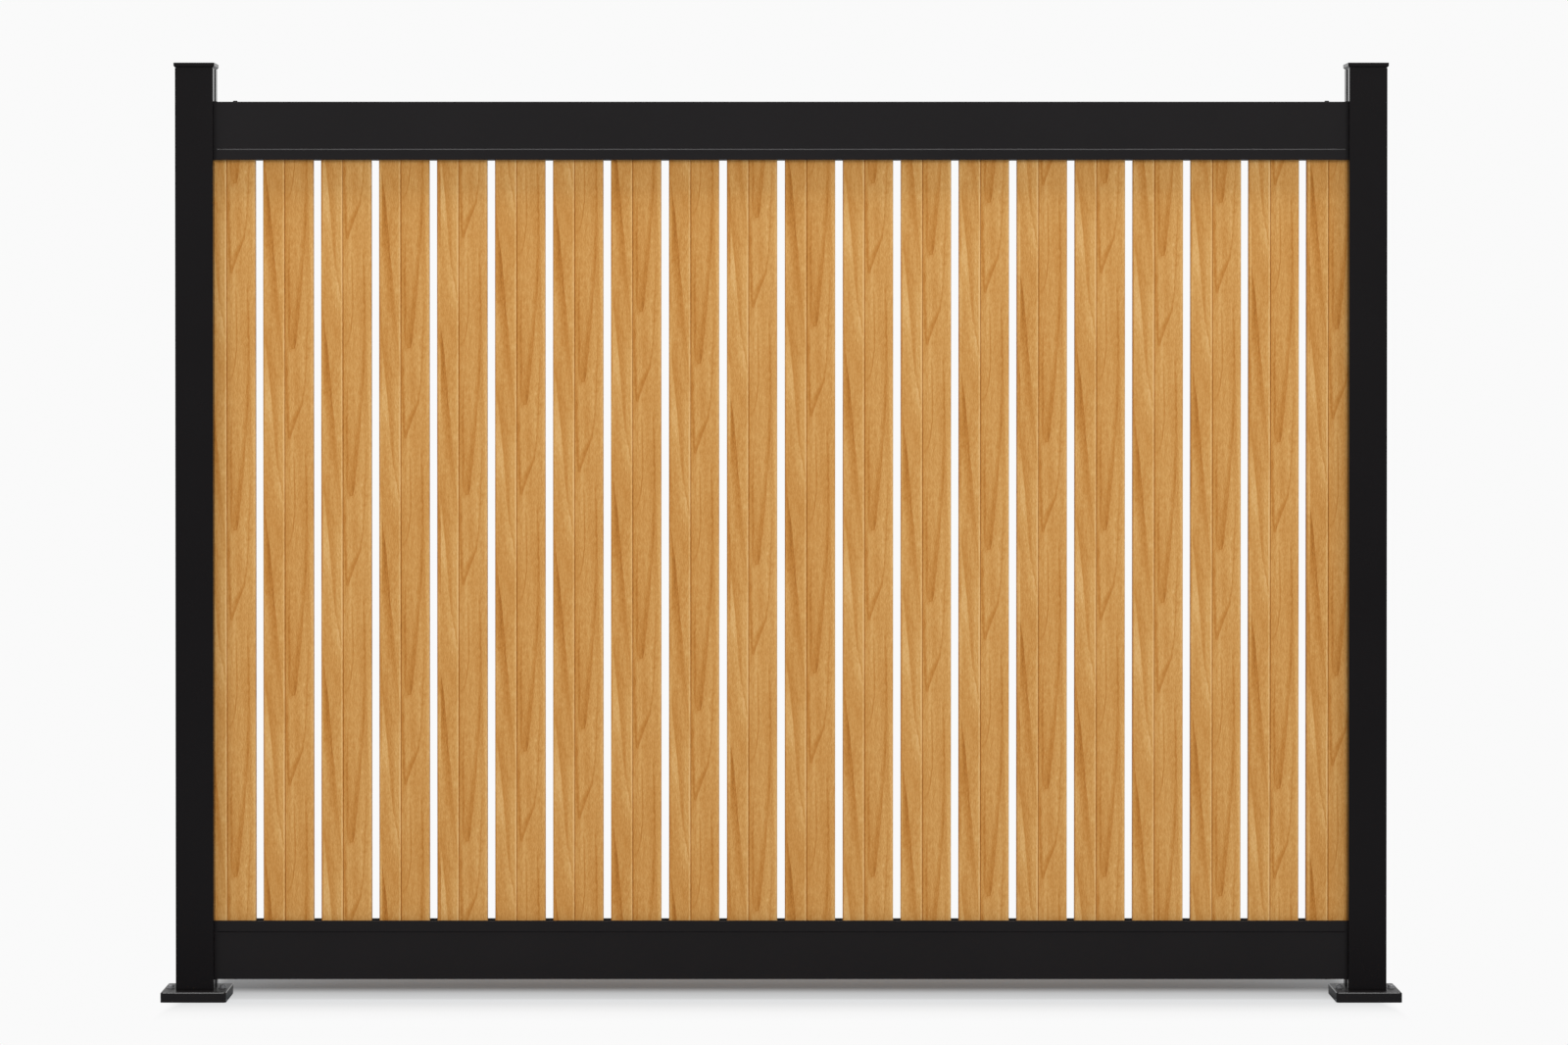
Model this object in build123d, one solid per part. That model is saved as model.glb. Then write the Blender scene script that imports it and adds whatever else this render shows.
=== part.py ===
from build123d import *
from math import atan2, degrees
import os

# Aluminium fence panel: upright slats held in two rails between two base-plated posts.
# The origin is the centre of the left base plate's underside, +X runs along the fence to the
# right post, +Y to the back of the fence and +Z up. All sizes are in millimetres.

# Layout of the panel
post_spacing = 2362.2
rail_above_plate = 21.0
slat_opening = 1535.0
post_rise = 67.0

# Posts: square tubes with a channel down the inner face for the edge of the outermost slat
post_size = 76.2
post_wall = 2.5
post_corner_radius = 1.5
channel_end_room = 3.7

# Base plates: thick plates under the posts, with one anchor hole on each side of the post
plate_overhang = 28.0
plate_thickness = 20.0
plate_corner_radius = 6.0
plate_edge_chamfer = 1.5
anchor_hole_diameter = 9.0

# Post caps: a shadow groove over the post, a rim that flares out, a low crown, and a plug
cap_groove = 1.2
cap_flare = 3.0
cap_flare_height = 4.2
cap_rim_height = 10.5
cap_crown = 1.5
cap_border = 1.5
cap_crown_flat = 8.0
cap_plug_length = 16.0
cap_plug_wall = 2.0
cap_plug_fit = 0.3

# Rails: an extrusion of three chambers, with a slat pocket between two lips that stand proud
rail_height = 117.0
rail_body_depth = 46.0
rail_wall = 2.5
rail_corner_radius = 1.2
lip_height = 22.0
lip_step = 2.0
pocket_depth = 25.0
pocket_fit = 0.75

# Rail brackets: a flange on the post face, set back from the rail, and a plug in the rail
bracket_flange = 6.0
bracket_set_back = 1.5
bracket_rise = 1.0
bracket_plug_length = 55.0
bracket_plug_wall = 3.0
bracket_plug_fit = 0.3

# Slats: hollow extrusions, the same from both sides, with a bevelled groove down each face
slat_width = 101.6
slat_thickness = 19.0
slat_wall = 1.5
slat_corner_radius = 3.0
slat_gap_wanted = 15.4
slat_tuck = 19.3
slat_head_room = 5.0
groove_offset = 44.0
groove_width = 2.0
groove_depth = 1.8
bevel_width = 7.0
bevel_depth = 0.6
groove_web = 5.0

# Spacers: hollow plastic blocks in the pockets, one in every gap between slats
spacer_fit = 0.3
spacer_wall = 2.0
spacer_chamfer = 0.8

# Widths of the slat's seats, which follow from the slat
pocket_width = slat_thickness + 2 * pocket_fit
channel_depth = slat_tuck + channel_end_room

# Heights that follow from the stack of parts, from the ground up
bottom_rail_base = plate_thickness + rail_above_plate
bottom_rail_top = bottom_rail_base + rail_height
top_rail_base = bottom_rail_top + slat_opening
post_top = top_rail_base + rail_height + post_rise

# Slats are spread evenly, with the outermost two tucked into the post channels
left_face = post_size / 2
bay_width = post_spacing - post_size
slat_run = bay_width + 2 * slat_tuck
slat_count = round((slat_run + slat_gap_wanted) / (slat_width + slat_gap_wanted))
slat_gap = (slat_run - slat_count * slat_width) / (slat_count - 1)
slat_pitch = slat_width + slat_gap
first_slat = left_face - slat_tuck + slat_width / 2

SLAT_SIDE = (Align.CENTER, Align.MIN)


def post():
    """A post on its base plate, with its channel facing +X."""
    shell_depth = channel_depth + post_wall
    shell_width = pocket_width + 2 * post_wall
    bore_size = post_size - 2 * post_wall
    tube = RectangleRounded(post_size, post_size, post_corner_radius)
    bore = Rectangle(bore_size, bore_size)
    shell = Pos((post_size - shell_depth) / 2, 0) * Rectangle(shell_depth, shell_width)
    channel = Pos((post_size - channel_depth) / 2, 0) * Rectangle(channel_depth, pocket_width)
    section = tube - (bore - shell) - channel
    return Pos(0, 0, plate_thickness) * extrude(section, post_top - plate_thickness)


def base_plate():
    """A base plate, with its anchor holes in the middle of the overhang beside the post."""
    size = post_size + 2 * plate_overhang
    plate = extrude(RectangleRounded(size, size, plate_corner_radius), plate_thickness)
    plate = chamfer(plate.faces().sort_by(Axis.Z)[-1].edges(), plate_edge_chamfer)
    hole_x = (post_size + plate_overhang) / 2
    hole = extrude(Circle(anchor_hole_diameter / 2), plate_thickness)
    return plate - Pos(-hole_x, 0) * hole - Pos(hole_x, 0) * hole


def post_cap():
    """A cap on a post whose channel faces +X: the plug fills the tube beside the channel."""
    foot_size = post_size - 2 * cap_groove
    rim_size = post_size + 2 * cap_flare
    flare_rise = cap_flare_height - cap_groove
    flare_angle = degrees(atan2(cap_flare, flare_rise))
    foot = RectangleRounded(foot_size, foot_size, post_corner_radius)
    waist = RectangleRounded(post_size, post_size, post_corner_radius)
    rim = RectangleRounded(rim_size, rim_size, post_corner_radius + cap_flare)
    head = extrude(foot, cap_groove)
    head += Pos(0, 0, cap_groove) * extrude(waist, flare_rise, taper=-flare_angle)
    head += Pos(0, 0, cap_flare_height) * extrude(rim, cap_rim_height - cap_flare_height)

    eave = rim_size / 2 - cap_border
    peak = cap_crown_flat / 2
    gable = Polygon((-eave, 0), (eave, 0), (peak, cap_crown), (-peak, cap_crown), align=None)
    ridge = extrude(Plane.XZ * gable, eave, both=True)
    head += Pos(0, 0, cap_rim_height) * (ridge & Rot(0, 0, 90) * ridge)

    bore_back = post_wall - post_size / 2
    bore_front = post_size / 2 - channel_depth - post_wall
    plug_x = bore_front - bore_back - 2 * cap_plug_fit
    plug_y = post_size - 2 * post_wall - 2 * cap_plug_fit
    hollow = Rectangle(plug_x - 2 * cap_plug_wall, plug_y - 2 * cap_plug_wall)
    plug = extrude(Rectangle(plug_x, plug_y) - hollow, -cap_plug_length)
    return Pos(0, 0, post_top) * (head + Pos((bore_back + bore_front) / 2, 0) * plug)


def rail_outline():
    """The outside of a rail in its cross-section, with the slat side on the X axis."""
    body = rail_body_depth / 2
    lip = body + lip_step
    half = [(lip, 0), (lip, lip_height - lip_step), (body, lip_height), (body, rail_height)]
    other_half = [(-x, y) for x, y in reversed(half)]
    outline = Polygon(*half, *other_half, align=None)
    return fillet(outline.vertices().group_by(Axis.Y)[-1], rail_corner_radius)


def rail(length):
    """A rail along +X from the origin, with its slat side facing down."""
    outline = rail_outline()
    hollow = offset(outline, -rail_wall, kind=Kind.INTERSECTION)
    floor = Pos(0, pocket_depth) * Rectangle(rail_body_depth, rail_wall, align=SLAT_SIDE)
    pocket = Rectangle(pocket_width, pocket_depth, align=SLAT_SIDE)
    pocket_walls = Rectangle(pocket_width + 2 * rail_wall, pocket_depth, align=SLAT_SIDE)
    section = outline - (hollow - floor - pocket_walls) - pocket
    return extrude(Plane.YZ * section, length)


def rail_bracket():
    """A bracket on a post face at X = 0, for the left end of a rail with its slat side down."""
    flange_depth = rail_body_depth - 2 * bracket_set_back
    flange = Rectangle(flange_depth, rail_height + bracket_rise, align=SLAT_SIDE)
    flange -= Rectangle(pocket_width, pocket_depth, align=SLAT_SIDE)

    floor_top = pocket_depth + rail_wall
    plug_depth = rail_body_depth - 2 * rail_wall - 2 * bracket_plug_fit
    plug_height = rail_height - rail_wall - floor_top - 2 * bracket_plug_fit
    plug = Rectangle(plug_depth, plug_height, align=SLAT_SIDE)
    hollow = Rectangle(
        plug_depth - 2 * bracket_plug_wall, plug_height - 2 * bracket_plug_wall, align=SLAT_SIDE
    )
    ring = Pos(0, floor_top + bracket_plug_fit) * (plug - Pos(0, bracket_plug_wall) * hollow)
    foot = extrude(Plane.YZ * flange, bracket_flange)
    return foot + Pos(bracket_flange, 0, 0) * extrude(Plane.YZ * ring, bracket_plug_length)


def groove():
    """The groove in a slat's front face: a V, then a long shallow bevel to its right."""
    face = -slat_thickness / 2
    outside = face - groove_depth
    start = groove_offset - (slat_width + groove_width) / 2
    end = start + groove_width
    return Polygon(
        (start, outside),
        (start, face),
        (start + groove_width / 2, face + groove_depth),
        (end, face + bevel_depth),
        (end + bevel_width, face),
        (end + bevel_width, outside),
        align=None,
    )


def slat():
    """A slat that stands on the floor of the bottom rail's pocket."""
    outline = RectangleRounded(slat_width, slat_thickness, slat_corner_radius)
    hollow = Rectangle(slat_width - 2 * slat_wall, slat_thickness - 2 * slat_wall)
    web = Pos(groove_offset - slat_width / 2, 0) * Rectangle(groove_web, slat_thickness)
    back = Rot(0, 0, 180)
    section = outline - (hollow - web - back * web) - groove() - back * groove()
    length = slat_opening + 2 * pocket_depth - slat_head_room
    return Pos(0, 0, bottom_rail_top - pocket_depth) * extrude(section, length)


def spacer():
    """A spacer that stands on the origin, open underneath, with a chamfered top."""
    width = slat_gap - 2 * spacer_fit
    block = extrude(Rectangle(width, slat_thickness), pocket_depth)
    block = chamfer(block.faces().sort_by(Axis.Z)[-1].edges(), spacer_chamfer)
    hollow = Rectangle(width - 2 * spacer_wall, slat_thickness - 2 * spacer_wall)
    return block - extrude(hollow, pocket_depth - spacer_wall)


right_post = Pos(post_spacing, 0, 0)
right_face = Pos(post_spacing - left_face, 0, 0)
turned = Rot(0, 0, 180)
flipped = Rot(180, 0, 0)

nodes = {
    "left_base_plate": base_plate(),
    "right_base_plate": right_post * base_plate(),
    "left_post": post(),
    "right_post": right_post * turned * post(),
    "left_post_cap": post_cap(),
    "right_post_cap": right_post * turned * post_cap(),
}

# Both rails are the same extrusion, cut to the bay less the bracket flanges at its ends
for level, slat_side_z, way_up in (
    ("top", top_rail_base, Rot(0, 0, 0)),
    ("bottom", bottom_rail_top, flipped),
):
    at_level = Pos(0, 0, slat_side_z)
    rail_start = Pos(left_face + bracket_flange, 0, 0)
    nodes[f"{level}_rail"] = at_level * rail_start * way_up * rail(bay_width - 2 * bracket_flange)
    bracket = way_up * rail_bracket()
    nodes[f"{level}_left_bracket"] = at_level * Pos(left_face, 0, 0) * bracket
    nodes[f"{level}_right_bracket"] = at_level * right_face * turned * bracket

one_slat = slat()
for index in range(slat_count):
    nodes[f"slat_{index + 1:02d}"] = Pos(first_slat + index * slat_pitch, 0, 0) * one_slat

# Spacers stand on the bottom pocket's floor and hang from the top pocket's
one_spacer = spacer()
gap_centres = [first_slat + (index + 0.5) * slat_pitch for index in range(slat_count - 1)]
bottom_floor = bottom_rail_top - pocket_depth
top_floor = top_rail_base + pocket_depth
nodes["bottom_spacers"] = Compound([Pos(x, 0, bottom_floor) * one_spacer for x in gap_centres])
nodes["top_spacers"] = Compound([Pos(x, 0, top_floor) * flipped * one_spacer for x in gap_centres])

os.makedirs("parts", exist_ok=True)
for name, shape in nodes.items():
    export_step(shape, f"parts/{name}.step")
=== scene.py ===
from math import pi, radians

import bmesh
import bpy
from mathutils import Matrix, Vector


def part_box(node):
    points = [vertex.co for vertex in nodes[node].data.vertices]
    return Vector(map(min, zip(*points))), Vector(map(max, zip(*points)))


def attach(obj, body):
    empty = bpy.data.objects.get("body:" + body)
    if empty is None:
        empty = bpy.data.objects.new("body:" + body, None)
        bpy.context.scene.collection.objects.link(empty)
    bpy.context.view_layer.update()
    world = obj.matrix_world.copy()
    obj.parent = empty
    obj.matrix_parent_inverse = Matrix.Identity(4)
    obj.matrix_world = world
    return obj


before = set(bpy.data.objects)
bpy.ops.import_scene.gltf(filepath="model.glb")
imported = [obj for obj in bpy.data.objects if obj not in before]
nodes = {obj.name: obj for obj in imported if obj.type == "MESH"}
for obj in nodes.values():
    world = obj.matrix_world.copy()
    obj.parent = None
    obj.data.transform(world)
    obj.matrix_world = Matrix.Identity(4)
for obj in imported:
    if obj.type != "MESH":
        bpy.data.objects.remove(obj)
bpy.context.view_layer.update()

# Posts, caps, base plates, rails and rail brackets
# Aluminium extrusions, castings and plates in a satin black powder coat, slightly pebbled all over.
# The rails slide on their brackets, and the caps plug into the posts.
COAT_PEBBLES = 900.0
COAT_PATCHES = 5.0
COAT_RELIEF = 0.00004
COAT_UNEVENNESS = 0.05
DUSTY_SLOPE = (0.85, 0.98)
# The posts, rails and plates share one black coat. Its three shades, darkest on the posts and lightest
# on the plates, are painted shade and painted light that stand in for how brightly each part is lit.
POST_BLACK = ((0.0030, 0.0022, 0.0026, 1), (0.0048, 0.0037, 0.0043, 1))
RAIL_BLACK = ((0.0040, 0.0031, 0.0035, 1), (0.0068, 0.0054, 0.0061, 1))
PLATE_BLACK = ((0.0055, 0.0046, 0.0050, 1), (0.0085, 0.0072, 0.0078, 1))


def place(tree, kind, sockets=None, **settings):
    """A shader node with its settings, and its inputs filled from values or other nodes' outputs."""
    node = tree.nodes.new(kind)
    for name, value in settings.items():
        setattr(node, name, value)
    for key, value in (sockets or {}).items():
        if isinstance(value, bpy.types.NodeSocket):
            tree.links.new(value, node.inputs[key])
        else:
            node.inputs[key].default_value = value
    return node


def calculate(tree, operation, *terms):
    """The output of a Math node."""
    return place(tree, "ShaderNodeMath", dict(enumerate(terms)), operation=operation).outputs[0]


def blend_colours(tree, mask, low, high):
    """The output of a Mix node that goes from one colour to another with a mask."""
    mix = place(tree, "ShaderNodeMix", {0: mask, 6: low, 7: high}, data_type="RGBA")
    return mix.outputs[2]


def map_range(tree, value, start, end, low=0.0, high=1.0, curve="LINEAR"):
    """Goes from low to high while a value goes from start to end, and no further."""
    sockets = {0: value, 1: start, 2: end, 3: low, 4: high}
    return place(tree, "ShaderNodeMapRange", sockets, interpolation_type=curve).outputs[0]


def new_finish(name):
    """An empty material, its node tree and the Object coordinates that its pattern reads."""
    material = bpy.data.materials.new(name)
    material.use_nodes = True
    tree = material.node_tree
    tree.nodes.clear()
    return material, tree, place(tree, "ShaderNodeTexCoord").outputs["Object"]


def add_shader(tree, colour, roughness, height, relief, gloss, metallic=0.0):
    """The Principled shader of a finish, from its colour, roughness and height."""
    bump = place(tree, "ShaderNodeBump", {"Strength": 1.0, "Distance": relief, "Height": height})
    shader = place(
        tree,
        "ShaderNodeBsdfPrincipled",
        {
            "Base Color": colour,
            "Roughness": roughness,
            "Metallic": metallic,
            "Specular IOR Level": gloss,
            "Normal": bump.outputs[0],
        },
    )
    place(tree, "ShaderNodeOutputMaterial", {0: shader.outputs[0]})


def dress(object_names, material):
    """Pieces that take a finish, in place of the plain colour they came with."""
    for name in object_names:
        nodes[name].data.materials.clear()
        nodes[name].data.materials.append(material)


coat_grain = bpy.data.node_groups.new("coat grain", "ShaderNodeTree")
coat_grain.interface.new_socket("Position", in_out="INPUT", socket_type="NodeSocketVector")
coat_grain.interface.new_socket("Pebble Scale", in_out="INPUT", socket_type="NodeSocketFloat")
coat_grain.interface.new_socket("Height", in_out="OUTPUT", socket_type="NodeSocketFloat")
coat_grain.interface.new_socket("Patches", in_out="OUTPUT", socket_type="NodeSocketFloat")
grain_in = place(coat_grain, "NodeGroupInput").outputs
pebbles = place(
    coat_grain,
    "ShaderNodeTexNoise",
    {"Vector": grain_in["Position"], "Scale": grain_in["Pebble Scale"], "Detail": 2.0},
)
patches = place(
    coat_grain,
    "ShaderNodeTexNoise",
    {"Vector": grain_in["Position"], "Scale": COAT_PATCHES, "Detail": 3.0},
)
place(coat_grain, "NodeGroupOutput", {"Height": pebbles.outputs[0], "Patches": patches.outputs[0]})


def add_grain(tree, position, pebble_scale):
    """The outputs of the coat grain group: the height of its pebbles, and broad patches."""
    sockets = {"Position": position, "Pebble Scale": pebble_scale}
    return place(tree, "ShaderNodeGroup", sockets, node_tree=coat_grain).outputs


def powder_coat(name, shades, gloss, roughness, dust=0.0):
    """A satin powder coat, faintly uneven in colour, and duller on top where dust settles."""
    material, tree, position = new_finish(name)
    grain = add_grain(tree, position, COAT_PEBBLES)
    smooth, rough = roughness - COAT_UNEVENNESS, roughness + COAT_UNEVENNESS
    dullness = map_range(tree, grain["Height"], 0.0, 1.0, smooth, rough)
    if dust:
        facing = place(tree, "ShaderNodeNewGeometry").outputs["Normal"]
        facing_up = place(tree, "ShaderNodeSeparateXYZ", {0: facing}).outputs[2]
        dullness = calculate(tree, "ADD", dullness, map_range(tree, facing_up, *DUSTY_SLOPE, 0.0, dust))
    colour = blend_colours(tree, grain["Patches"], *shades)
    add_shader(tree, colour, dullness, grain["Height"], COAT_RELIEF, gloss)
    return material


post_coat = powder_coat("post coat", POST_BLACK, gloss=0.13, roughness=0.21)
dress(["left_post", "right_post", "left_post_cap", "right_post_cap"], post_coat)
rail_coat = powder_coat("rail coat", RAIL_BLACK, gloss=0.205, roughness=0.35, dust=0.55)
rail_pieces = [
    "top_rail", "bottom_rail",
    "top_left_bracket", "top_right_bracket", "bottom_left_bracket", "bottom_right_bracket",
]
dress(rail_pieces, rail_coat)
plate_coat = powder_coat("plate coat", PLATE_BLACK, gloss=0.22, roughness=0.24, dust=0.22)
dress(["left_base_plate", "right_base_plate"], plate_coat)

# Slats
# Hollow aluminium extrusions in a golden oak wood-grain film. The film repeats up the slat with
# each turn of its printing roll, and each slat was cut off at another place in that turn.
SLAT_COUNT = 20
SLAT_PITCH = 0.117
SLAT_WIDTH = 0.1016
FIRST_SLAT = 0.0188
ROLL_LENGTH = 0.70
ROLL_START = -0.4086
CUT_PLACES = (
    0.63, 0.107, 0.531, 0.105, 0.528, 0.268, 0.203, 0.0, 0.150, 0.729,
    0.042, 0.630, 0.836, 0.686, 0.376, 0.630, 0.839, 0.686, 0.376, 0.05,
)
STRAW = (0.780, 0.480, 0.190, 1)
GOLD = (0.690, 0.378, 0.119, 1)
HONEY = (0.585, 0.272, 0.064, 1)
AMBER = (0.510, 0.208, 0.037, 1)
BROWN = (0.345, 0.124, 0.014, 1)
FILM_PEBBLES = 1400.0
FILM_RELIEF = 0.00004
FIBRE_RELIEF = 0.6
FILM_ROUGHNESS = (0.44, 0.56)
FILM_GLOSS = 0.2


def ramp(tree, value, stops, interpolation="LINEAR"):
    """A colour ramp from (place, colour) stops in order, a single number being a grey."""
    node = place(tree, "ShaderNodeValToRGB", {0: value})
    node.color_ramp.interpolation = interpolation
    elements = node.color_ramp.elements
    elements[1].position = 1.0
    for number, (at, colour) in enumerate(stops):
        stop = elements[0] if number == 0 else elements.new(at)
        stop.position = at
        stop.color = colour if isinstance(colour, tuple) else (colour, colour, colour, 1)
    elements[len(elements) - 1].color = elements[len(elements) - 2].color
    return node.outputs[0]


oak_film, film, position = new_finish("oak film")
axes = place(film, "ShaderNodeSeparateXYZ", {0: position}).outputs
from_first = calculate(film, "SUBTRACT", axes[0], FIRST_SLAT)
slat_number = calculate(film, "DIVIDE", from_first, SLAT_PITCH)
across = calculate(film, "MULTIPLY", calculate(film, "FRACT", slat_number), SLAT_PITCH / SLAT_WIDTH)
cut = ramp(
    film,
    calculate(film, "DIVIDE", slat_number, SLAT_COUNT),
    [(number / SLAT_COUNT, at) for number, at in enumerate(CUT_PLACES)],
    "CONSTANT",
)
turns = calculate(film, "MULTIPLY_ADD", axes[2], 1 / ROLL_LENGTH, ROLL_START)
turns = calculate(film, "ADD", turns, cut)
angle = calculate(film, "MULTIPLY", turns, 2 * pi)
roll = place(
    film,
    "ShaderNodeCombineXYZ",
    {0: across, 1: calculate(film, "COSINE", angle), 2: calculate(film, "SINE", angle)},
).outputs[0]


def streaks(width, length, detail):
    """Noise drawn out up the slat: streaks of that width and length, in metres, from -0.5 to 0.5."""
    wound = ROLL_LENGTH / (2 * pi * length)
    stretched = place(
        film,
        "ShaderNodeVectorMath",
        {0: roll, 1: (SLAT_WIDTH / width, wound, wound)},
        operation="MULTIPLY",
    )
    noise = place(
        film,
        "ShaderNodeTexNoise",
        {"Vector": stretched.outputs[0], "Scale": 1.0, "Detail": detail, "Roughness": 0.6},
    )
    return calculate(film, "SUBTRACT", noise.outputs[0], 0.5)


# Growth rings of a flat-sawn board. Each line climbs the roll from its start, a share of one turn, and
# its stops give height, place across the slat, depth of colour, and width of the side that fades out.
SWAY_UP = 0.03
SWAY_ACROSS = 0.05
sway = streaks(width=0.03, length=0.10, detail=2.0)
wavy_turns = calculate(film, "MULTIPLY_ADD", sway, SWAY_UP, turns)
wavy_across = calculate(film, "MULTIPLY_ADD", sway, SWAY_ACROSS, across)


def grain_line(start, fades_left, edge, stops):
    """One line of the print, 1 at its deepest, which fades out on one side and ends at an edge."""
    height = calculate(film, "FRACT", calculate(film, "SUBTRACT", wavy_turns, start))
    course = ramp(film, height, [(at, (where, depth, fade, 1)) for at, where, depth, fade in stops])
    where, depth, fade = place(film, "ShaderNodeSeparateColor", {0: course}).outputs
    past = calculate(film, "SUBTRACT", wavy_across, where)
    if not fades_left:
        past = calculate(film, "MULTIPLY", past, -1.0)
    fade_start = calculate(film, "MULTIPLY", fade, -1.0)
    faded = map_range(film, past, fade_start, 0.0, curve="SMOOTHSTEP")
    cut_off = map_range(film, past, 0.0, edge, 1.0, 0.0)
    return calculate(film, "MULTIPLY", calculate(film, "MULTIPLY", faded, cut_off), depth)


broad_streak = grain_line(start=0.48, fades_left=True, edge=0.012, stops=(
    (0.0, 0.43, 0.0, 0.06), (0.05, 0.41, 0.55, 0.08), (0.12, 0.365, 0.60, 0.14),
    (0.22, 0.31, 0.65, 0.20), (0.32, 0.25, 0.80, 0.20), (0.42, 0.185, 0.95, 0.20),
    (0.52, 0.13, 0.95, 0.16), (0.62, 0.05, 0.70, 0.10), (0.70, 0.01, 0.0, 0.06),
    (0.99, 0.01, 0.0, 0.06),
))
thin_streak = grain_line(start=0.11, fades_left=False, edge=0.014, stops=(
    (0.0, 0.43, 0.0, 0.03), (0.05, 0.36, 0.55, 0.04), (0.09, 0.315, 0.60, 0.05),
    (0.14, 0.265, 0.60, 0.07), (0.21, 0.215, 0.50, 0.12), (0.27, 0.195, 0.50, 0.15),
    (0.34, 0.165, 0.60, 0.16), (0.39, 0.12, 0.60, 0.20), (0.47, 0.05, 0.50, 0.25),
    (0.51, 0.02, 0.45, 0.25), (0.54, 0.0, 0.0, 0.15), (0.99, 0.0, 0.0, 0.15),
))
pale_streak = grain_line(start=0.11, fades_left=True, edge=0.012, stops=(
    (0.0, 0.43, 0.0, 0.20), (0.05, 0.36, 0.55, 0.25), (0.14, 0.265, 0.80, 0.22),
    (0.27, 0.195, 0.80, 0.18), (0.39, 0.12, 0.60, 0.12), (0.47, 0.05, 0.20, 0.05),
    (0.51, 0.02, 0.0, 0.02), (0.99, 0.02, 0.0, 0.02),
))
broad_arch = grain_line(start=0.56, fades_left=True, edge=0.016, stops=(
    (0.0, 0.50, 0.0, 0.03), (0.010, 0.55, 0.60, 0.06), (0.016, 0.63, 0.85, 0.18),
    (0.04, 0.665, 0.90, 0.22), (0.07, 0.685, 0.85, 0.22), (0.11, 0.71, 0.75, 0.16),
    (0.19, 0.755, 0.70, 0.12), (0.29, 0.815, 0.65, 0.10), (0.39, 0.865, 0.65, 0.09),
    (0.49, 0.885, 0.65, 0.08), (0.59, 0.87, 0.60, 0.06), (0.66, 0.855, 0.55, 0.05),
    (0.71, 0.835, 0.40, 0.03), (0.73, 0.83, 0.0, 0.03), (0.99, 0.83, 0.0, 0.03),
))
broad_arch_side = grain_line(start=0.56, fades_left=False, edge=0.014, stops=(
    (0.0, 0.54, 0.0, 0.03), (0.02, 0.53, 0.65, 0.08), (0.06, 0.505, 0.65, 0.09),
    (0.14, 0.50, 0.60, 0.07), (0.24, 0.505, 0.60, 0.06), (0.32, 0.52, 0.40, 0.05),
    (0.39, 0.54, 0.0, 0.04), (0.99, 0.54, 0.0, 0.04),
))
sharp_arch = grain_line(start=0.30, fades_left=True, edge=0.014, stops=(
    (0.0, 0.51, 0.0, 0.04), (0.015, 0.53, 0.90, 0.07), (0.03, 0.57, 0.95, 0.12),
    (0.05, 0.61, 0.90, 0.15), (0.07, 0.66, 0.85, 0.14), (0.095, 0.73, 0.80, 0.10),
    (0.115, 0.785, 0.75, 0.07), (0.14, 0.81, 0.65, 0.04), (0.20, 0.845, 0.60, 0.03),
    (0.28, 0.87, 0.50, 0.03), (0.38, 0.885, 0.30, 0.03), (0.50, 0.90, 0.0, 0.03),
    (0.99, 0.90, 0.0, 0.03),
))
sharp_arch_side = grain_line(start=0.28, fades_left=False, edge=0.012, stops=(
    (0.0, 0.52, 0.0, 0.03), (0.04, 0.50, 0.75, 0.08), (0.09, 0.475, 0.75, 0.09),
    (0.17, 0.465, 0.60, 0.07), (0.26, 0.46, 0.40, 0.05), (0.36, 0.46, 0.0, 0.03),
    (0.99, 0.46, 0.0, 0.03),
))
hook = grain_line(start=0.0, fades_left=True, edge=0.012, stops=(
    (0.0, 0.50, 0.0, 0.02), (0.015, 0.54, 0.50, 0.04), (0.03, 0.57, 0.70, 0.04),
    (0.05, 0.60, 0.70, 0.035), (0.10, 0.63, 0.65, 0.03), (0.16, 0.64, 0.60, 0.03),
    (0.21, 0.635, 0.60, 0.03), (0.26, 0.615, 0.45, 0.03), (0.29, 0.60, 0.0, 0.03),
    (0.99, 0.60, 0.0, 0.03),
))
lines = broad_streak
for line in (thin_streak, broad_arch, broad_arch_side, sharp_arch, sharp_arch_side, hook):
    lines = calculate(film, "MAXIMUM", lines, line)

# The tone of the film: broad bands, streaks, fibres and pores, each with its width, length, detail and
# strength, then the pale streak and the dark lines, which are deeper in some places than in others.
BASE_TONE = 0.600
TONE_BY_CUT = 0.06
TONE_STREAKS = (
    (0.028, 0.45, 2.0, 0.66),
    (0.019, 0.16, 1.0, 0.28),
    (0.005, 0.12, 3.0, 0.38),
    (0.0022, 0.012, 2.0, 0.60),
    (0.0011, 0.006, 2.0, 0.44),
)
PALE_STREAK_TONE = 0.15
LINE_TONE = -0.39
LINE_UNEVENNESS = 1.2
tone = calculate(film, "MULTIPLY_ADD", cut, TONE_BY_CUT, BASE_TONE)
for width, length, detail, strength in TONE_STREAKS:
    tone = calculate(film, "MULTIPLY_ADD", streaks(width, length, detail), strength, tone)
tone = calculate(film, "MULTIPLY_ADD", pale_streak, PALE_STREAK_TONE, tone)
deeper = streaks(width=0.02, length=0.12, detail=2.0)
line_depth = calculate(film, "MULTIPLY_ADD", deeper, LINE_UNEVENNESS, 1.0)
tone = calculate(film, "MULTIPLY_ADD", calculate(film, "MULTIPLY", lines, line_depth), LINE_TONE, tone)
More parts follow.
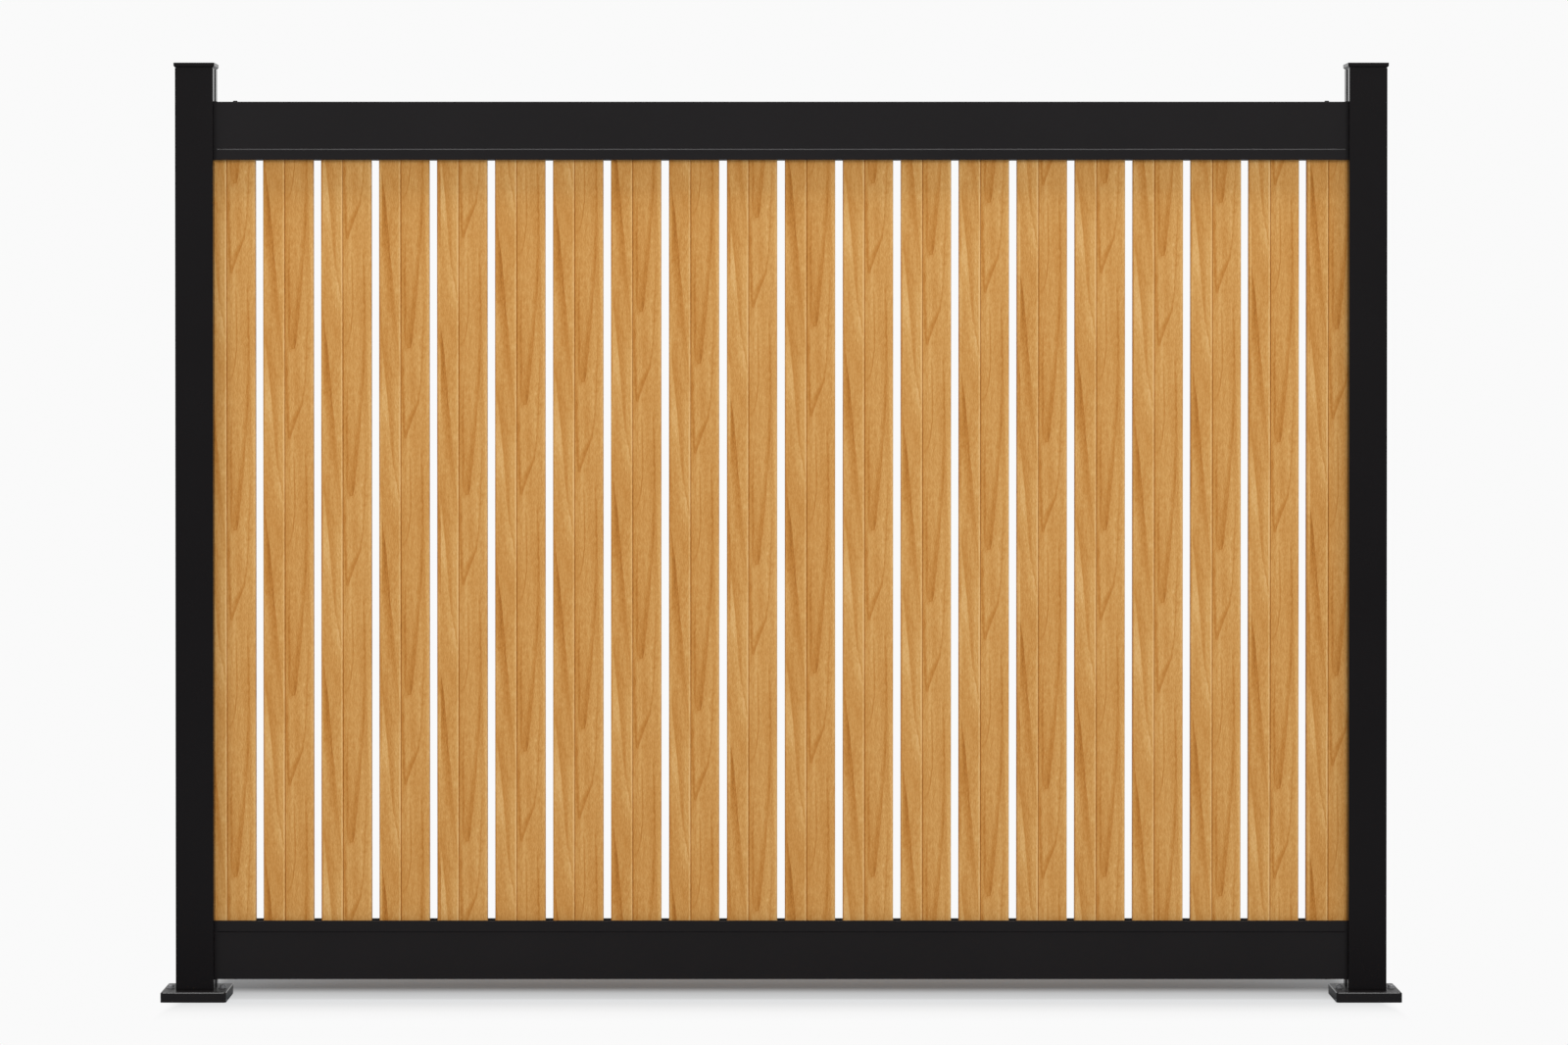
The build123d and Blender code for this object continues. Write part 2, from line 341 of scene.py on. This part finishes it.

# Painted light across each slat: painted shade down in the groove, close right of it and along the
# slat's left edge, and a painted highlight along the groove's left edge and along the slat's right edge
PAINTED_LIGHT_TONE = 0.9
painted_light_across = ramp(
    film,
    across,
    (
        (0.0, 0.30), (0.035, 0.54), (0.07, 0.53), (0.11, 0.50), (0.388, 0.48), (0.399, 0.70),
        (0.422, 0.70), (0.428, 0.05), (0.444, 0.05), (0.452, 0.32), (0.49, 0.36), (0.54, 0.50),
        (0.60, 0.53), (0.70, 0.54), (0.75, 0.50), (0.90, 0.47), (0.93, 0.50), (0.96, 0.62),
        (0.99, 0.68),
    ),
)
painted_light_across = calculate(film, "SUBTRACT", painted_light_across, 0.5)
tone = calculate(film, "MULTIPLY_ADD", painted_light_across, PAINTED_LIGHT_TONE, tone)
oak = ramp(film, tone, ((0.0, BROWN), (0.30, AMBER), (0.52, HONEY), (0.80, GOLD), (0.99, STRAW)))
grain = add_grain(film, position, FILM_PEBBLES)
add_shader(
    film,
    oak,
    map_range(film, grain["Patches"], 0.0, 1.0, *FILM_ROUGHNESS),
    calculate(film, "MULTIPLY_ADD", tone, FIBRE_RELIEF, grain["Height"]),
    FILM_RELIEF,
    FILM_GLOSS,
)
dress([name for name in nodes if name.startswith("slat_")], oak_film)

# Spacers
# Hollow blocks of matt black moulded plastic, pushed into the rails' pockets between the slats to
# keep the gaps even.
PLASTIC_PEBBLES = 500.0
PLASTIC_RELIEF = 0.00006
PLASTIC_BLACK = ((0.005, 0.005, 0.005, 1), (0.010, 0.010, 0.010, 1))
PLASTIC_ROUGHNESS = (0.80, 0.90)
PLASTIC_GLOSS = 0.0
black_plastic, tree, position = new_finish("black plastic")
grain = add_grain(tree, position, PLASTIC_PEBBLES)
add_shader(
    tree,
    blend_colours(tree, grain["Height"], *PLASTIC_BLACK),
    map_range(tree, grain["Patches"], 0.0, 1.0, *PLASTIC_ROUGHNESS),
    grain["Height"],
    PLASTIC_RELIEF,
    PLASTIC_GLOSS,
)
dress(["top_spacers", "bottom_spacers"], black_plastic)

# Rail screws
# Black-coated pan-head screws through the rails' outer walls into the brackets' plugs, one at each
# rail end: on top of the top rail and under the bottom rail.
SCREW_FROM_POST = 0.041
SCREW_RADIUS = 0.0046
SCREW_HEIGHT = 0.0030
SCREW_ROUNDING = 0.0013
SCREW_SOCKET = 0.0018
SCREW_SIDES = 28
SOCKET_DEPTH = 0.45
LEVEL_TOLERANCE = 1e-5


def add_object(name, data):
    """A mesh, lamp or camera put into the scene under a name."""
    added = bpy.data.objects.new(name, data)
    bpy.context.scene.collection.objects.link(added)
    return added


def stand_piece(name, mesh_maker, material, where, flip=False):
    """A small piece made upright at the origin, put in its place on the part."""
    shape = bmesh.new()
    mesh_maker(shape)
    if flip:
        bmesh.ops.rotate(shape, verts=shape.verts, cent=(0, 0, 0), matrix=Matrix.Rotation(pi, 3, "X"))
    bmesh.ops.translate(shape, verts=shape.verts, vec=where)
    bmesh.ops.recalc_face_normals(shape, faces=shape.faces)
    mesh = bpy.data.meshes.new(name)
    shape.to_mesh(mesh)
    shape.free()
    mesh.materials.append(material)
    piece = add_object(name, mesh)
    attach(piece, "root")
    return piece


def round_block(shape, radius, low, high, sides):
    """An upright cylinder between two levels."""
    bmesh.ops.create_cone(
        shape,
        cap_ends=True,
        segments=sides,
        radius1=radius,
        radius2=radius,
        depth=high - low,
        matrix=Matrix.Translation((0, 0, (low + high) / 2)),
    )


def socket_head(shape, radius, low, high, sides, rounding, socket):
    """A round head with a rounded top edge and a round socket, of that radius, in its top."""
    round_block(shape, radius, low, high, sides)
    level = high - LEVEL_TOLERANCE
    top = [f for f in shape.faces if f.normal.z > 0.9 and f.calc_center_median().z > level][-1]
    bmesh.ops.bevel(
        shape,
        geom=list(top.edges),
        offset=rounding,
        segments=3,
        profile=0.5,
        affect="EDGES",
        material=-1,
    )
    top = max((f for f in shape.faces if f.normal.z > 0.99), key=lambda f: f.calc_center_median().z)
    bmesh.ops.inset_region(shape, faces=[top], thickness=radius - rounding - socket)
    pushed = bmesh.ops.extrude_discrete_faces(shape, faces=[top])
    down = (0, 0, -(high - low) * SOCKET_DEPTH)
    bmesh.ops.translate(shape, verts=pushed["faces"][0].verts, vec=down)


def pan_head(shape):
    """The head of a rail screw, which is all of it that shows."""
    socket_head(shape, SCREW_RADIUS, 0.0, SCREW_HEIGHT, SCREW_SIDES, SCREW_ROUNDING, SCREW_SOCKET)


for rail_name, above in (("top_rail", True), ("bottom_rail", False)):
    low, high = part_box(rail_name)
    level = high.z if above else low.z
    for side, post_name in (("left", "left_post"), ("right", "right_post")):
        post_low, post_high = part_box(post_name)
        screw_x = post_high.x + SCREW_FROM_POST if side == "left" else post_low.x - SCREW_FROM_POST
        where = (screw_x, 0, level)
        screw = stand_piece(f"{rail_name}_{side}_screw", pan_head, rail_coat, where, flip=not above)

# Anchor bolts
# Zinc-plated socket-head bolts with washers that hold the base plates down, one on each side of a
# post, midway between the post and the edge of the plate.
BOLT_FROM_MIDDLE = 0.0521
BOLT_RADIUS = 0.0065
BOLT_TOP = 0.0072
BOLT_ROUNDING = 0.0034
BOLT_SOCKET = 0.0024
BOLT_SIDES = 32
WASHER_RADIUS = 0.0085
WASHER_THICKNESS = 0.0016
WASHER_ROUNDING = 0.0004
WASHER_SIDES = 36
ZINC_PEBBLES = 1100.0
ZINC_RELIEF = 0.00003
ZINC_GREY = ((0.20, 0.20, 0.205, 1), (0.30, 0.30, 0.31, 1))
ZINC_ROUGHNESS = (0.35, 0.50)
ZINC_GLOSS = 0.5
ZINC_METAL = 0.3
zinc, tree, position = new_finish("zinc plating")
grain = add_grain(tree, position, ZINC_PEBBLES)
add_shader(
    tree,
    blend_colours(tree, grain["Height"], *ZINC_GREY),
    map_range(tree, grain["Height"], 0.0, 1.0, *ZINC_ROUGHNESS),
    grain["Height"],
    ZINC_RELIEF,
    ZINC_GLOSS,
    ZINC_METAL,
)


def anchor_bolt(shape):
    """A washer, and the head of a bolt on it."""
    round_block(shape, WASHER_RADIUS, 0.0, WASHER_THICKNESS, WASHER_SIDES)
    level = WASHER_THICKNESS - LEVEL_TOLERANCE
    rim = [e for e in shape.edges if all(v.co.z > level for v in e.verts)]
    bmesh.ops.bevel(
        shape,
        geom=rim,
        offset=WASHER_ROUNDING,
        segments=2,
        profile=0.5,
        affect="EDGES",
        material=-1,
    )
    socket_head(shape, BOLT_RADIUS, WASHER_THICKNESS, BOLT_TOP, BOLT_SIDES, BOLT_ROUNDING, BOLT_SOCKET)


for plate_name in ("left_base_plate", "right_base_plate"):
    low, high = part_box(plate_name)
    middle = (low.x + high.x) / 2
    for side, shift in (("outer", -BOLT_FROM_MIDDLE), ("inner", BOLT_FROM_MIDDLE)):
        shift = shift if plate_name.startswith("left") else -shift
        stand_piece(f"{plate_name}_{side}_bolt", anchor_bolt, zinc, (middle + shift, 0, high.z))

# Floor
# A plain matt floor, its paint darker near the panel: painted shade. Where the camera looks, a white
# glow covers the floor outside a strip under the panel, so the panel's shadow shows from post to post
# and runs out to the white of the backdrop all round.
FLOOR_RADIUS = 30.0
FLOOR_CENTRE = (1.18, 0, -0.0005)
FLOOR_SIDES = 96
PANEL_MIDDLE = 1.181
SHADOW_ENDS = (1.09, 1.24)
SHADOW_BACK = (0.15, 0.75)
SHADOW_FRONT = (0.14, -0.30)
SHADOW_ROUNDING = (0.35, 1.0)
SHADOW_FRONT_FADE = (
    (0.0, 0.0), (0.07, 0.18), (0.16, 0.43), (0.32, 0.60),
    (0.48, 0.64), (0.61, 0.79), (0.77, 0.94), (0.99, 1.0),
)
# The paint is darker near the panel and fades out to the far paint: painted shade.
PAINTED_SHADE_FADE = (0.2, 2.2)
PAINT_MOTTLE = 3.0
NEAR_PAINT_PAINTED_SHADE = ((0.41, 0.43, 0.45, 1), (0.43, 0.45, 0.47, 1))
FAR_PAINT = ((0.72, 0.735, 0.75, 1), (0.75, 0.765, 0.78, 1))
BACKDROP_WHITE = (0.955, 0.955, 0.955, 1)

floor_mesh = bpy.data.meshes.new("floor")
shape = bmesh.new()
bmesh.ops.create_circle(
    shape,
    cap_ends=True,
    segments=FLOOR_SIDES,
    radius=FLOOR_RADIUS,
    matrix=Matrix.Translation(FLOOR_CENTRE),
)
shape.to_mesh(floor_mesh)
shape.free()
floor = add_object("floor", floor_mesh)

white_floor, tree, position = new_finish("white floor")
axes = place(tree, "ShaderNodeSeparateXYZ", {0: position}).outputs
off_middle = calculate(tree, "ABSOLUTE", calculate(tree, "SUBTRACT", axes[0], PANEL_MIDDLE))
past_end = map_range(tree, off_middle, *SHADOW_ENDS)
past_back = map_range(tree, axes[1], *SHADOW_BACK)
past_both = place(tree, "ShaderNodeCombineXYZ", {0: past_end, 1: past_back}).outputs[0]
away = place(tree, "ShaderNodeVectorMath", {0: past_both}, operation="LENGTH").outputs["Value"]
behind = map_range(tree, away, *SHADOW_ROUNDING, curve="SMOOTHSTEP")
before = ramp(tree, map_range(tree, axes[1], *SHADOW_FRONT), SHADOW_FRONT_FADE)
clear = calculate(tree, "MAXIMUM", before, behind)
mottle = place(tree, "ShaderNodeTexNoise", {"Vector": position, "Scale": PAINT_MOTTLE}).outputs[0]
# Darker paint near the panel, fading out with distance from it: painted shade.
near_paint_painted_shade = blend_colours(tree, mottle, *NEAR_PAINT_PAINTED_SHADE)
far_paint = blend_colours(tree, mottle, *FAR_PAINT)
from_panel = calculate(tree, "ABSOLUTE", axes[1])
painted_shade_fade = map_range(tree, from_panel, *PAINTED_SHADE_FADE, curve="SMOOTHSTEP")
paint = place(tree, "ShaderNodeBsdfDiffuse", {0: blend_colours(tree, painted_shade_fade, near_paint_painted_shade, far_paint)})
glow = place(tree, "ShaderNodeEmission", {0: BACKDROP_WHITE, 1: 1.0})
ray = place(tree, "ShaderNodeLightPath")
seen_clear = calculate(tree, "MULTIPLY", clear, ray.outputs["Is Camera Ray"])
both = place(tree, "ShaderNodeMixShader", {0: seen_clear, 1: paint.outputs[0], 2: glow.outputs[0]})
place(tree, "ShaderNodeOutputMaterial", {0: both.outputs[0]})
floor_mesh.materials.append(white_floor)

# Light
# A white studio, seen and mirrored brighter than it lights. A broad key shines from the front and a
# weaker fill from behind, and a long softbox overhead picks out the ledges of the rails.
SURROUND_LIGHT = 0.38
SUN_ANGLE = 22
world = bpy.data.worlds.new("studio")
bpy.context.scene.world = world
world.use_nodes = True
tree = world.node_tree
tree.nodes.clear()
ray = place(tree, "ShaderNodeLightPath")
seen = calculate(
    tree,
    "MAXIMUM",
    calculate(tree, "MAXIMUM", ray.outputs["Is Camera Ray"], ray.outputs["Is Glossy Ray"]),
    ray.outputs["Is Transmission Ray"],
)
surround = place(tree, "ShaderNodeBackground", {0: (1, 1, 1, 1), 1: SURROUND_LIGHT})
backdrop = place(tree, "ShaderNodeBackground", {0: BACKDROP_WHITE, 1: 1.0})
both = place(tree, "ShaderNodeMixShader", {0: seen, 1: surround.outputs[0], 2: backdrop.outputs[0]})
place(tree, "ShaderNodeOutputWorld", {0: both.outputs[0]})


def softbox(name, where, target, width, height, power):
    """An area lamp at one point, aimed at another."""
    lamp = bpy.data.lights.new(name, "AREA")
    lamp.shape = "RECTANGLE"
    lamp.size = width
    lamp.size_y = height
    lamp.energy = power
    holder = add_object(name, lamp)
    aim = Vector(target) - Vector(where)
    holder.matrix_world = Matrix.Translation(where) @ aim.to_track_quat("-Z", "Y").to_matrix().to_4x4()
    holder.visible_camera = False


def soft_sun(name, direction, strength):
    """A broad distant lamp that shines in one direction and isn't mirrored in the coats."""
    lamp = bpy.data.lights.new(name, "SUN")
    lamp.angle = radians(SUN_ANGLE)
    lamp.energy = strength
    holder = add_object(name, lamp)
    holder.rotation_euler = Vector(direction).to_track_quat("-Z", "Y").to_euler()
    holder.visible_glossy = False


softbox(
    "overhead",
    where=(1.18, -1.3, 9.0),
    target=(1.18, -0.1, 0.9),
    width=8.0,
    height=1.4,
    power=490.0,
)
soft_sun("key", direction=(-0.10, 1.0, -0.28), strength=1.19)
soft_sun("fill", direction=(0.10, -1.0, -0.28), strength=0.55)

# Camera
# A long lens nine metres off and 1.35 m up, almost level. The picture is shifted down to the panel,
# so the posts stay upright.
SENSOR_WIDTH = 36.0
PICTURE_WIDTH = 1600
FOCAL_LENGTH_IN_PIXELS = 4546
camera = bpy.data.cameras.new("camera")
camera.sensor_width = SENSOR_WIDTH
camera.lens = FOCAL_LENGTH_IN_PIXELS / PICTURE_WIDTH * SENSOR_WIDTH
camera.shift_x = 0.0234
camera.shift_y = -0.10
holder = add_object("camera", camera)
holder.location = (1.113, -9.0, 1.351)
holder.rotation_euler = (radians(89.537), 0, 0)
bpy.context.scene.camera = holder
bpy.context.scene.view_settings.view_transform = "Standard"
